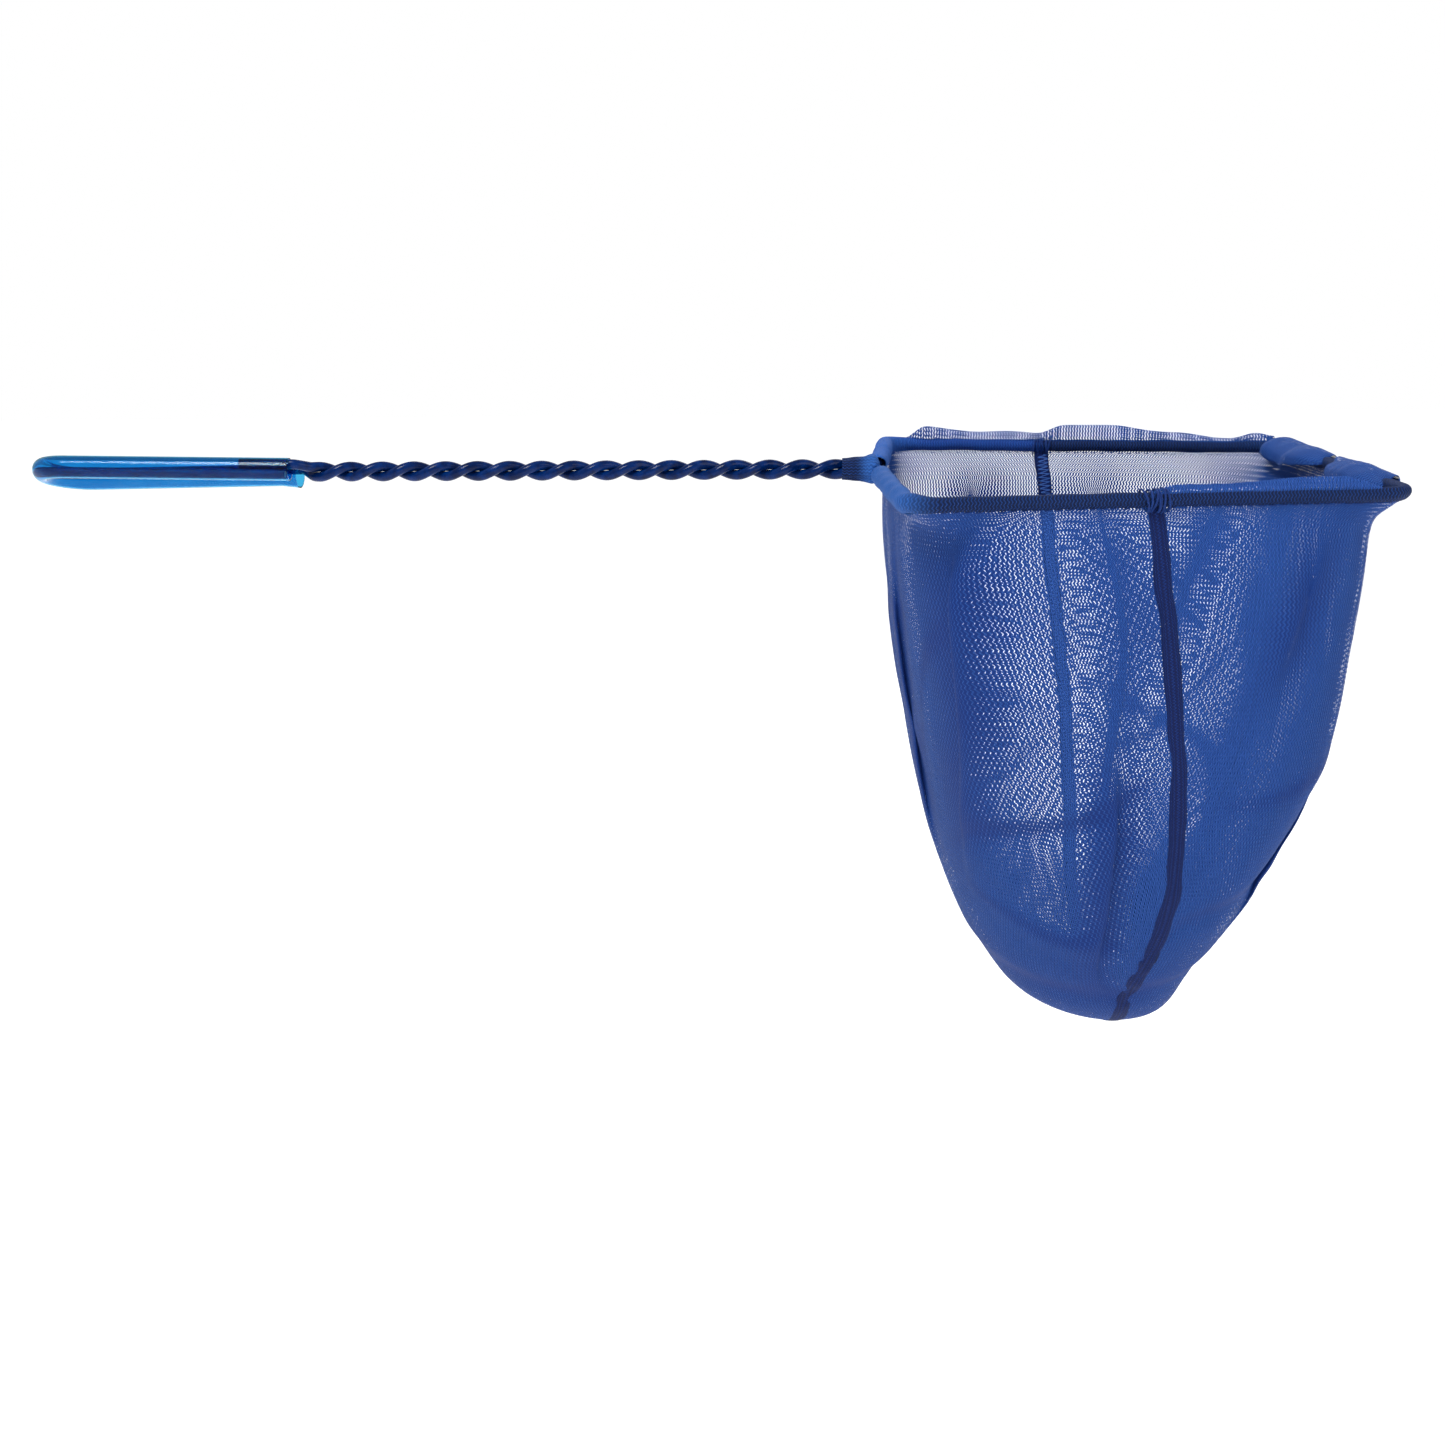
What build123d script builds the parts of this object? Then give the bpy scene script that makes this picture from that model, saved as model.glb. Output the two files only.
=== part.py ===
from build123d import *
import os
from math import atan, atan2, cos, degrees, pi, radians, sin

# Hand net. One vinyl-coated steel wire is bent into a hoop, its two legs are twisted
# together as the handle, and the twist ends in a hand loop under a loose vinyl sleeve.
# A knitted bag of two panels hangs from the hoop by a casing folded over the wire.
#
# Millimetres. The origin is the inside of the hand loop's round end, where a hook bears.
# +X runs along the handle to the hoop, +Y is the far side and +Z is up.

# ---- driving dimensions ----
CORE_R = 1.65            # steel wire
JACKET_R = 2.4           # outside of the vinyl coating
COATING_GAP = 0.02       # keeps the two meshes apart

TWIST_R = 2.45           # centre of each leg from the handle's axis
TWIST_START = 133.0
TWIST_TURNS = 8.5
TWIST_END = 400.0
FORK_LEAD = 3.4          # straight lead between a fork's last bend and the twist
FORK_BEND_R = 6.0
FORK_RUN = 2.5           # straight run of wire beyond the sleeve

LOOP_R = 16.0            # sleeve's centre line at the loop's round end
LOOP_TAPER = 4.8         # degrees that each side of the loop leans in
LOOP_TILT = 16.0         # degrees that the loop's near side is raised
SLEEVE_END = 121.0
SLEEVE_HALF_HEIGHT = 5.5
SLEEVE_HALF_WIDTH = 4.8
SLEEVE_WALL = 0.6
SLEEVE_FLARE = 9.0       # length of the far mouth's flare
SLEEVE_FLARE_GROWTH = 1.1
WIRE_OVERLAP = 24.0      # length of the two cut ends one over the other in the near sleeve
END_SETBACK = 2.0        # lower cut end, back from the sleeve's mouth
STACK_CLEAR = 0.02

NECK_X = 404.0
NECK_BEND_R = 8.0
NECK_REACH = 5.6         # from the twist to the corner of the neck bend
HOOP_REAR_X = NECK_X + 9.0
HOOP_FRONT_X = NECK_X + 213.0
HOOP_REAR_HALF = 126.0
HOOP_FRONT_HALF = 90.0
HOOP_CORNER_R = 13.0

CASING_R = 2.9
CASING_WALL = 0.4
CASING_CLEAR = 10.0      # casing starts this far from the neck
CASING_GAP = 0.6         # at the side seams

PANEL_WALL = 1.0
PANEL_TOP = -4.0
SEAM_X = NECK_X + 100.0  # where the side seam crosses the hoop's middle
SEAM_TURN = -3.6         # degrees about Z
SEAM_LEAN = -5.2         # degrees that the seam leans forward as it goes down
SEAM_WIDTH = 6.5
SEAM_THICKNESS = 0.9
THREAD_WIDTH = 0.8
THREAD_OFFSET = 4.6
SEAM_CUT = 0.05          # half the slit between the panels
SEAM_GAP = 0.1           # seam's stand-off from the panels
SEAM_DROP = 1.0          # seam's top under the panels' top
OPEN_TOP_LIFT = 2.0      # how far the hollow passes the top edge
CUTTER_SPAN = 800.0

COLLAR_START = 388.0
COLLAR_END = 402.0
COLLAR_START_R = 5.3
COLLAR_END_R = 6.6
COLLAR_WALL = 0.7
COLLAR_LIP = 1.12        # length and height of the rolled lip

FRILL_THICKNESS = 0.8
STITCH_SIZE = (2.4, 0.5, 0.5)
STITCH_PITCH = 6.0
STITCH_STAND_OFF = 0.9
STITCH_DROP = 1.5
STITCH_INSET = 1.0       # stitches stop this far from a corner's curve
FRILL_STAND_OFF = 0.1

# Bag stations from the top edge down: depth, rear x, front x, rear half width,
# front half width, corner radius. x is measured from the neck.
BAG_STATIONS = [
    (0.0, 7.0, 213.0, 125.0, 89.0, 15.0),
    (60.0, 8.0, 209.0, 119.0, 95.0, 42.0),
    (120.0, 16.0, 207.0, 111.0, 94.0, 58.0),
    (180.0, 30.0, 188.0, 95.0, 84.0, 58.0),
    (230.0, 53.0, 168.0, 71.0, 66.0, 48.0),
    (262.0, 78.0, 152.0, 44.0, 42.0, 32.0),
    (279.0, 104.0, 137.0, 16.0, 16.0, 12.0),
]

# Frill outlines: x from the neck, height over the casing.
FAR_FRILL = [(22, 0), (26, 6.0), (62, 3.2), (84, 3.0), (107, 6.2), (150, 4.0), (196, 1.6), (200, 0)]
NEAR_FRILL = [(106, 0), (110, 2.4), (140, 2.0), (170, 4.6), (190, 4.2), (196, 0)]

os.makedirs("parts", exist_ok=True)

TWIST_PITCH = (TWIST_END - TWIST_START) / TWIST_TURNS
TWIST_ANGLE = atan(2 * pi * TWIST_R / TWIST_PITCH)
LOOP_CENTRE_X = LOOP_R - SLEEVE_HALF_WIDTH
HOOP_TILT = degrees(atan(2 * TWIST_R / (HOOP_REAR_HALF + HOOP_FRONT_HALF)))
TAPER = radians(LOOP_TAPER)
NEAR = -1
FAR = 1


# ---- helpers ----
def tube(path, outer, inner):
    """A hollow round tube swept along a path."""
    section = Plane(origin=path @ 0, z_dir=path % 0)
    ring = section * (Circle(outer) - Circle(inner))
    return sweep(ring, path=path)


def rod(path, radius):
    """A solid round rod swept along a path."""
    section = Plane(origin=path @ 0, z_dir=path % 0)
    return sweep(section * Circle(radius), path=path)


def loop_direction(side, tilt):
    """Unit vector across the hand loop, towards one side."""
    return Vector(0, side * cos(radians(tilt)), -side * sin(radians(tilt)))


def joined(paths):
    """One wire from edges that meet end to end."""
    edges = []
    for path in paths:
        edges.extend(path.edges())
    return Wire(edges)


# ---- the wire's route ----
def side_point(side, x, lift):
    """Point on a side of the sleeve's loop, raised off its centre line."""
    offset = LOOP_R / cos(TAPER) - (x - LOOP_CENTRE_X) * sin(TAPER) / cos(TAPER)
    across = loop_direction(side, LOOP_TILT)
    up = Vector(0, sin(radians(LOOP_TILT)), cos(radians(LOOP_TILT)))
    return Vector(x, 0, 0) + across * offset + up * lift


def side_heading(side):
    """Unit vector along a side of the loop, towards the handle."""
    return Vector(1, 0, 0) * cos(TAPER) - loop_direction(side, LOOP_TILT) * sin(TAPER)


def loop_route(far_x, near_x, lift):
    """Hand loop: far side, round end, near side. The far side is lifted, the near lowered."""
    turn_x = LOOP_CENTRE_X + LOOP_R * sin(TAPER)
    far_turn = side_point(FAR, turn_x, lift)
    near_turn = side_point(NEAR, turn_x, -lift)
    crown = Vector(LOOP_CENTRE_X - LOOP_R, 0, 0)
    if lift == 0:
        round_end = ThreePointArc(far_turn, crown, near_turn)
    else:
        headings = (side_heading(FAR) * -1, side_heading(NEAR))
        round_end = Spline(far_turn, crown, near_turn, tangents=headings)
    far_side = Line(side_point(FAR, far_x, lift), far_turn)
    near_side = Line(near_turn, side_point(NEAR, near_x, -lift))
    return joined([far_side, round_end, near_side])


def twist_heading(turning):
    """Unit vector of a leg where it is level, turning to +Y or -Y."""
    return Vector(cos(TWIST_ANGLE), turning * sin(TWIST_ANGLE), 0)


def fork_path(side, start_x):
    """From the sleeve to the twist: straight, two bends, and a short lead."""
    lift = TWIST_R + STACK_CLEAR
    start = side_point(side, start_x, lift)
    bend = side_point(side, SLEEVE_END + FORK_RUN, lift)
    level = Vector(TWIST_START, 0, -side * TWIST_R)
    lead = level - twist_heading(-side) * FORK_LEAD
    return FilletPolyline(start, bend, lead, level, radius=FORK_BEND_R)


def twist_path(side):
    """One leg of the left-handed twist, starting at the top for the near side."""
    level = Plane(origin=(TWIST_START, 0, 0), x_dir=(0, 0, -side), z_dir=(1, 0, 0))
    helix = Helix(TWIST_PITCH, TWIST_END - TWIST_START, TWIST_R, lefthand=True)
    return level * helix


def neck_point(side):
    """Corner of the bend from the twist into the hoop's arm."""
    rise = side * TWIST_R
    heading = twist_heading(side)
    return Vector(TWIST_END, 0, rise) + heading * NECK_REACH


def hoop_corner(x, half, side):
    return Vector(x, side * half, side * TWIST_R)


def hoop_path():
    """Round the hoop from one leg of the twist to the other."""
    points = [
        Vector(TWIST_END, 0, -TWIST_R),
        neck_point(NEAR),
        hoop_corner(HOOP_REAR_X, HOOP_REAR_HALF, NEAR),
        hoop_corner(HOOP_FRONT_X, HOOP_FRONT_HALF, NEAR),
        hoop_corner(HOOP_FRONT_X, HOOP_FRONT_HALF, FAR),
        hoop_corner(HOOP_REAR_X, HOOP_REAR_HALF, FAR),
        neck_point(FAR),
        Vector(TWIST_END, 0, TWIST_R),
    ]
    corners = [NECK_BEND_R] + [HOOP_CORNER_R] * 4 + [NECK_BEND_R]
    return FilletPolyline(*points, radius=corners)


# ---- the frame ----
def grip_wire_path():
    """The wire hangs the sleeve on its far side and lies under the stub on the near side."""
    return loop_route(SLEEVE_END, SLEEVE_END - END_SETBACK, TWIST_R + STACK_CLEAR)


def make_core_wire():
    """The whole bent wire, cut end to cut end, as one solid."""
    stub = fork_path(NEAR, SLEEVE_END - WIRE_OVERLAP)
    far_fork = fork_path(FAR, SLEEVE_END)
    core = rod(stub, CORE_R) + rod(twist_path(NEAR), CORE_R)
    core += rod(hoop_path(), CORE_R)
    core += rod(twist_path(FAR), CORE_R)
    core += rod(far_fork, CORE_R)
    core += rod(grip_wire_path(), CORE_R)
    return core


def jacket(path):
    return tube(path, JACKET_R, CORE_R + COATING_GAP)


def make_leg_jacket(side, start_x):
    return jacket(fork_path(side, start_x)) + jacket(twist_path(side))


def make_grip_sleeve():
    """Loose oval tube round the hand loop; its far mouth flares open."""
    path = loop_route(SLEEVE_END - SLEEVE_FLARE, SLEEVE_END, 0)
    up = (0, sin(radians(LOOP_TILT)), cos(radians(LOOP_TILT)))
    seat = Plane(origin=path @ 0, x_dir=up, z_dir=path % 0)
    outer = Ellipse(SLEEVE_HALF_HEIGHT, SLEEVE_HALF_WIDTH)
    inner = Ellipse(SLEEVE_HALF_HEIGHT - SLEEVE_WALL, SLEEVE_HALF_WIDTH - SLEEVE_WALL)
    body = sweep(seat * (outer - inner), path=path)
    heading = side_heading(FAR)
    base = Plane(origin=path @ 0, x_dir=up, z_dir=heading)
    mouth = base.offset(SLEEVE_FLARE)
    skins = []
    for wall in (0.0, SLEEVE_WALL):
        height = SLEEVE_HALF_HEIGHT - wall
        width = SLEEVE_HALF_WIDTH - wall
        narrow = base * Ellipse(height, width)
        wide = mouth * Ellipse(height + SLEEVE_FLARE_GROWTH, width + SLEEVE_FLARE_GROWTH / 2)
        skins.append(loft([narrow, wide]))
    return body + (skins[0] - skins[1])


def make_neck_collar():
    """Folded mesh sleeve round the end of the twist, flared to a rolled lip."""
    outline = Polyline(
        (COLLAR_START, 0, COLLAR_START_R),
        (COLLAR_START, 0, COLLAR_START_R + COLLAR_WALL),
        (COLLAR_END - COLLAR_LIP, 0, COLLAR_END_R + COLLAR_WALL),
        (COLLAR_END - COLLAR_LIP, 0, COLLAR_END_R + COLLAR_LIP),
        (COLLAR_END, 0, COLLAR_END_R + COLLAR_LIP),
        (COLLAR_END, 0, COLLAR_END_R),
        close=True,
    )
    return revolve(make_face(outline), axis=Axis.X)


# ---- the casing on the hoop ----
def seam_station(side):
    """x where the side seam crosses a bar of the hoop."""
    middle_half = (HOOP_REAR_HALF + HOOP_FRONT_HALF) / 2
    return SEAM_X + side * middle_half * sin(radians(SEAM_TURN))


def bar_point(x, side):
    """Point on the near or far bar's centre line."""
    share = (x - HOOP_REAR_X) / (HOOP_FRONT_X - HOOP_REAR_X)
    half = HOOP_REAR_HALF + share * (HOOP_FRONT_HALF - HOOP_REAR_HALF)
    return Vector(x, side * half, side * TWIST_R)


def arm_point(y, side):
    """Point on the rear arm's centre line."""
    inner = neck_point(side)
    outer = hoop_corner(HOOP_REAR_X, HOOP_REAR_HALF, side)
    share = (y - abs(inner.Y)) / (HOOP_REAR_HALF - abs(inner.Y))
    return inner + (outer - inner) * share


def casing(path):
    return tube(path, CASING_R, CASING_R - CASING_WALL)


def make_rear_casing(side):
    start = arm_point(CASING_CLEAR, side)
    corner = hoop_corner(HOOP_REAR_X, HOOP_REAR_HALF, side)
    end = bar_point(seam_station(side) - CASING_GAP / 2, side)
    return casing(FilletPolyline(start, corner, end, radius=HOOP_CORNER_R))


def make_front_casing():
    points = [
        bar_point(seam_station(NEAR) + CASING_GAP / 2, NEAR),
        hoop_corner(HOOP_FRONT_X, HOOP_FRONT_HALF, NEAR),
        hoop_corner(HOOP_FRONT_X, HOOP_FRONT_HALF, FAR),
        bar_point(seam_station(FAR) + CASING_GAP / 2, FAR),
    ]
    return casing(FilletPolyline(*points, radius=HOOP_CORNER_R))


def make_frill(side, outline):
    """Loose folded edge that stands above a bar: (x from the neck, height) points."""
    top = side * TWIST_R + CASING_R + FRILL_STAND_OFF
    turn = side * degrees(atan2(HOOP_REAR_HALF - HOOP_FRONT_HALF, HOOP_FRONT_X - HOOP_REAR_X))
    base = bar_point(NECK_X + outline[0][0], side)
    stretch = 1 / cos(radians(turn))
    points = []
    for x, height in outline:
        points.append(((x - outline[0][0]) * stretch, height))
    along = Vector(1, 0, 0).rotate(Axis.Z, -turn)
    across = Vector(0, -1, 0).rotate(Axis.Z, -turn)
    sheet = Plane(origin=(base.X, base.Y, top), x_dir=along, z_dir=across)
    face = make_face(Polyline(*points, close=True))
    return extrude(sheet * face, amount=FRILL_THICKNESS / 2, both=True)


# ---- the bag ----
def bag_section(station, grow, lift):
    """Rounded trapezoid across the bag at one depth, grown outwards."""
    depth, rear, front, rear_half, front_half, corner = station
    rear_x = NECK_X + rear - grow
    front_x = NECK_X + front + grow
    outline = Polyline(
        (rear_x, -rear_half - grow),
        (front_x, -front_half - grow),
        (front_x, front_half + grow),
        (rear_x, rear_half + grow),
        close=True,
    )
    face = make_face(outline)
    face = fillet(face.vertices(), corner + grow)
    return Pos(0, 0, PANEL_TOP - depth + lift) * face


def bag_solid(grow, top_lift, bottom_drop):
    """The bag's filled shape, grown outwards, with its ends moved."""
    sections = []
    last = len(BAG_STATIONS) - 1
    for index, station in enumerate(BAG_STATIONS):
        lift = 0.0
        if index == 0:
            lift = top_lift
        if index == last:
            lift = -bottom_drop
        sections.append(bag_section(station, grow, lift))
    return loft(sections)


def seam_plane():
    """The leaning plane of the side seam."""
    plane = Plane(origin=(SEAM_X, 0, 0), x_dir=(0, 1, 0), z_dir=(1, 0, 0))
    return plane.rotated((0, 0, SEAM_TURN)).rotated((0, SEAM_LEAN, 0))


def seam_slab(offset, width):
    """A wide plate of the seam's width, to cut a band out of a shell."""
    plate = SEAM_FACE.offset(offset)
    return plate * Box(CUTTER_SPAN, CUTTER_SPAN, width)


def set_on_hoop(solid):
    """Tilt the bag's level top to the hoop's plane."""
    return Rot(X=HOOP_TILT) * solid


SEAM_FACE = seam_plane()


def make_bag_parts():
    """Two panels, the overlocked seam between them and its thread."""
    outer = bag_solid(0.0, 0.0, 0.0)
    inner = bag_solid(-PANEL_WALL, OPEN_TOP_LIFT, -PANEL_WALL)
    shell = outer - inner
    rear = split(shell, bisect_by=SEAM_FACE.offset(-SEAM_CUT), keep=Keep.BOTTOM)
    front = split(shell, bisect_by=SEAM_FACE.offset(SEAM_CUT), keep=Keep.TOP)
    outside = SEAM_GAP + SEAM_THICKNESS
    skin = bag_solid(SEAM_GAP, -SEAM_DROP, SEAM_GAP)
    cover = bag_solid(outside, -SEAM_DROP, outside)
    layer = cover - skin
    seam = layer & seam_slab(0.0, SEAM_WIDTH)
    thread = layer & seam_slab(THREAD_OFFSET, THREAD_WIDTH)
    return {
        "net_panel_rear": set_on_hoop(rear),
        "net_panel_front": set_on_hoop(front),
        "bag_seam": set_on_hoop(seam),
        "bag_seam_thread": set_on_hoop(thread),
    }


def stitch_row(start, end):
    """Dashes of thread along one side of the bag, just under the casing."""
    run = end - start
    count = int(run.length / STITCH_PITCH)
    heading = degrees(atan2(run.Y, run.X))
    dashes = []
    for index in range(count):
        centre = start + run * ((index + 0.5) / count)
        if abs(SEAM_FACE.to_local_coords(centre).Z) < SEAM_WIDTH:
            continue
        dashes.append(Pos(centre.X, centre.Y, centre.Z) * Rot(Z=heading) * Box(*STITCH_SIZE))
    return dashes


def make_hem_stitching():
    """Visible dashes of the lockstitch that closes the casing."""
    depth, rear, front, rear_half, front_half, corner = BAG_STATIONS[0]
    level = PANEL_TOP - STITCH_DROP
    out = STITCH_STAND_OFF
    rear_x = NECK_X + rear - out
    front_x = NECK_X + front + out
    inset = corner + STITCH_INSET
    slope = (rear_half - front_half) / (front - rear)
    dashes = []
    for side in (NEAR, FAR):
        start = Vector(rear_x + inset, side * (rear_half + out - slope * inset), level)
        end = Vector(front_x - inset, side * (front_half + out + slope * inset), level)
        dashes += stitch_row(start, end)
        arm_start = Vector(rear_x, side * CASING_CLEAR, level)
        arm_end = Vector(rear_x, side * (rear_half - inset), level)
        dashes += stitch_row(arm_start, arm_end)
    front_start = Vector(front_x, -front_half + inset, level)
    front_end = Vector(front_x, front_half - inset, level)
    dashes += stitch_row(front_start, front_end)
    return set_on_hoop(Compound(children=dashes))


nodes = {
    "core_wire": make_core_wire(),
    "hoop_jacket": jacket(hoop_path()),
    "handle_jacket_near": make_leg_jacket(NEAR, SLEEVE_END - WIRE_OVERLAP),
    "handle_jacket_far": make_leg_jacket(FAR, SLEEVE_END),
    "grip_jacket": jacket(grip_wire_path()),
    "grip_sleeve": make_grip_sleeve(),
    "neck_collar": make_neck_collar(),
    "hem_casing_rear_near": make_rear_casing(NEAR),
    "hem_casing_rear_far": make_rear_casing(FAR),
    "hem_casing_front": make_front_casing(),
    "hem_frill_near": make_frill(NEAR, NEAR_FRILL),
    "hem_frill_far": make_frill(FAR, FAR_FRILL),
    "hem_stitching": make_hem_stitching(),
}
nodes.update(make_bag_parts())

for name, shape in nodes.items():
    export_step(shape, f"parts/{name}.step")
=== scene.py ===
import bpy
import math
import numpy as np
from mathutils import Matrix, Vector


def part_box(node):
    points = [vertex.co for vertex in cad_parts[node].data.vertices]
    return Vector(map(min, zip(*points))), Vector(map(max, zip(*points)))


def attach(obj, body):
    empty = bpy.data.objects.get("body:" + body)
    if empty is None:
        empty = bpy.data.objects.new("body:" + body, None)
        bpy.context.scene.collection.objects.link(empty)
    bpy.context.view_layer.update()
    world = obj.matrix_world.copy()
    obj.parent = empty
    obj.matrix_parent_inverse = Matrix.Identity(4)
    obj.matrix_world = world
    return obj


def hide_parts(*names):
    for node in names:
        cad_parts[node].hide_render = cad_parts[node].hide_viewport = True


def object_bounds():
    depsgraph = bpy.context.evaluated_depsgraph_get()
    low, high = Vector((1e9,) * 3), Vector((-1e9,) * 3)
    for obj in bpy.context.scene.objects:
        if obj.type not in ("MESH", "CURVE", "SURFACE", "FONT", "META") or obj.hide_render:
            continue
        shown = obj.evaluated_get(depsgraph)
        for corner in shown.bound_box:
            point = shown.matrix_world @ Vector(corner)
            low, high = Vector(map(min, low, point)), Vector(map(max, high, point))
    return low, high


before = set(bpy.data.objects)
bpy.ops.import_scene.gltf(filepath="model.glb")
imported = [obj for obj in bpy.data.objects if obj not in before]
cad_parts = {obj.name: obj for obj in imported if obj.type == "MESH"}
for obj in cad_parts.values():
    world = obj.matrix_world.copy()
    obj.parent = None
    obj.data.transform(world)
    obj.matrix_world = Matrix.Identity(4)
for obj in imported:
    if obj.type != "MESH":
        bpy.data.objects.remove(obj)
SCENE = bpy.context.scene
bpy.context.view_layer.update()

# ---- driving sizes, in metres
MM = 0.001
WIRE_R = 2.4 * MM              # over the coating
LEG_R = 2.45 * MM              # a handle leg's centre from the handle's axis
CASING_R = 2.65 * MM
CORNER_R = 13 * MM
BEND_POINTS = 9
NECK_AHEAD = 2 * MM            # neck from the collar's lip
NECK_TURN = (1.03 * MM, 2.46 * MM)   # where an arm's wire starts, from the neck
ARM_RISE = 9 * MM              # rear corners ahead of the neck
REAR_HALF = 126 * MM           # half widths at the hoop's corners
FRONT_HALF = 90 * MM

NECK_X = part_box("neck_collar")[1][0] + NECK_AHEAD
REAR_X = NECK_X + ARM_RISE
FRONT_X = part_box("hoop_jacket")[1][0] - WIRE_R

rng = np.random.default_rng(11)


# ---- curve and mesh helpers
def unit(v):
    return v / np.linalg.norm(v, axis=-1, keepdims=True)


def rounded_corner(a, b, c, radius):
    """Points of the arc that rounds corner b between a and c."""
    u, v = unit(a - b), unit(c - b)
    half = math.acos(float(np.clip(u @ v, -1, 1))) / 2
    reach = radius / math.tan(half)
    centre = b + unit(u + v) * radius / math.sin(half)
    start = (b + u * reach - centre) / radius
    end = (b + v * reach - centre) / radius
    turn = math.pi - 2 * half
    side = unit(end - math.cos(turn) * start)
    t = np.linspace(0, turn, BEND_POINTS)[:, None]
    return centre + radius * (np.cos(t) * start + np.sin(t) * side)


def lengths_along(line):
    steps = np.linalg.norm(np.diff(line, axis=0), axis=1)
    return np.concatenate([[0], np.cumsum(steps)])


def interpolate(x, known, values):
    """Each column of the values, given at the known places, read at x."""
    return np.stack([np.interp(x, known, column) for column in values.T], -1)


def at_length(line, distance):
    """Points at the given distances along a polyline."""
    return interpolate(distance, lengths_along(line), line)


def smooth_curve(x, knots_x, knots_y):
    """Cubic curve through a few stations."""
    kx, ky = np.asarray(knots_x, float), np.asarray(knots_y, float)
    slopes = np.gradient(ky, kx)
    x = np.clip(x, kx[0], kx[-1])
    i = np.clip(np.searchsorted(kx, x) - 1, 0, len(kx) - 2)
    h = kx[i + 1] - kx[i]
    t = (x - kx[i]) / h
    return ((2 * t**3 - 3 * t**2 + 1) * ky[i] + (t**3 - 2 * t**2 + t) * h * slopes[i]
            + (3 * t**2 - 2 * t**3) * ky[i + 1] + (t**3 - t**2) * h * slopes[i + 1])


def hoop_corner(x, half, side):
    return np.array([x, side * half, side * LEG_R])


def hoop_line():
    """Centre line of the hoop's wire from the neck round the near side and back."""
    places = [(NECK_X + NECK_TURN[0], NECK_TURN[1]), (REAR_X, REAR_HALF), (FRONT_X, FRONT_HALF)]
    points = [hoop_corner(*place, -1) for place in places]
    points += [hoop_corner(*place, 1) for place in places[::-1]]
    bends = [rounded_corner(*bend, CORNER_R) for bend in zip(points, points[1:], points[2:])]
    return np.concatenate([points[:1], *bends, points[-1:]])


HOOP = hoop_line()
HOOP_ALONG = lengths_along(HOOP)
HOOP_LENGTH = HOOP_ALONG[-1]


def hoop_distance(x, side):
    """Distance along the hoop at which a bar passes x."""
    fine = np.linspace(0, HOOP_LENGTH, 4001)
    points = at_length(HOOP, fine)
    on_side = (fine < HOOP_LENGTH / 2) if side < 0 else (fine > HOOP_LENGTH / 2)
    off = np.where(on_side, np.abs(points[:, 0] - x), 1)
    return fine[np.argmin(off)]


SEAM_NEAR = hoop_distance(NECK_X + 107 * MM, -1)
SEAM_FAR = hoop_distance(NECK_X + 93 * MM, 1)


def mesh_object(name, vertices, faces, uv=None, smooth=True):
    """Object from arrays; uv is one pair per vertex."""
    mesh = bpy.data.meshes.new(name)
    mesh.from_pydata([tuple(v) for v in vertices], [], [tuple(f) for f in faces])
    mesh.update()
    if uv is not None:
        layer = mesh.uv_layers.new(name="Cut")
        index = np.zeros(len(mesh.loops), np.int32)
        mesh.loops.foreach_get("vertex_index", index)
        layer.data.foreach_set("uv", np.asarray(uv, np.float32)[index].ravel())
    if smooth:
        mesh.polygons.foreach_set("use_smooth", np.ones(len(mesh.polygons), bool))
    piece = bpy.data.objects.new(name, mesh)
    SCENE.collection.objects.link(piece)
    return piece


def give(piece, name, values):
    """One number for each vertex, which the materials read by name."""
    layer = piece.data.attributes.new(name, "FLOAT", "POINT")
    layer.data.foreach_set("value", np.asarray(values, np.float32).ravel())


def grid_faces(rows, cols, wrap=False, flip=False):
    """Quads of a grid of vertices; wrap joins the last column to the first."""
    index = np.arange(rows * cols).reshape(rows, cols)
    right = np.roll(index, -1, axis=1)
    last = cols if wrap else cols - 1
    corners = [index[:-1, :last], right[:-1, :last], right[1:, :last], index[1:, :last]]
    quads = np.stack(corners, -1).reshape(-1, 4)
    return quads[:, ::-1] if flip else quads


def cloth_object(name, grid, u, v, **turned):
    """Object from a grid of points, with its flat cut."""
    uv = np.stack(np.broadcast_arrays(u, v, grid[..., 0])[:2], -1).reshape(-1, 2)
    faces = grid_faces(*grid.shape[:2], **turned)
    return mesh_object(name, grid.reshape(-1, 3), faces, uv)


def frames_along(line):
    """Two normals that don't spin, for each point of a line."""
    tangents = unit(np.gradient(line, axis=0))
    first = np.cross(tangents[0], (0, 0, 1))
    if np.linalg.norm(first) < 0.1:
        first = np.cross(tangents[0], (0, 1, 0))
    normals = [unit(first)]
    for tangent in tangents[1:]:
        n = normals[-1] - tangent * (normals[-1] @ tangent)
        normals.append(unit(n))
    normals = np.array(normals)
    return normals, np.cross(tangents, normals)


def tube_grid(line, radius, sides):
    """Rings of points round a line; radius is a number or one per point."""
    normal, binormal = frames_along(line)
    radius = np.broadcast_to(radius, len(line))[:, None, None]
    angle = np.linspace(0, 2 * math.pi, sides, endpoint=False)[None, :, None]
    across = normal[:, None] * np.cos(angle) + binormal[:, None] * np.sin(angle)
    return line[:, None] + across * radius


def joined_tubes(name, tubes):
    """One object from many tubes, each a grid of rings."""
    vertices, faces, count = [], [], 0
    for tube in tubes:
        faces.append(grid_faces(*tube.shape[:2], wrap=True) + count)
        vertices.append(tube.reshape(-1, 3))
        count += len(vertices[-1])
    return mesh_object(name, np.concatenate(vertices), np.concatenate(faces))


def finish_piece(piece, slot, material, *replaced):
    piece.data.materials.append(material)
    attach(piece, "root")
    if replaced:
        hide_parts(*replaced)


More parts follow.
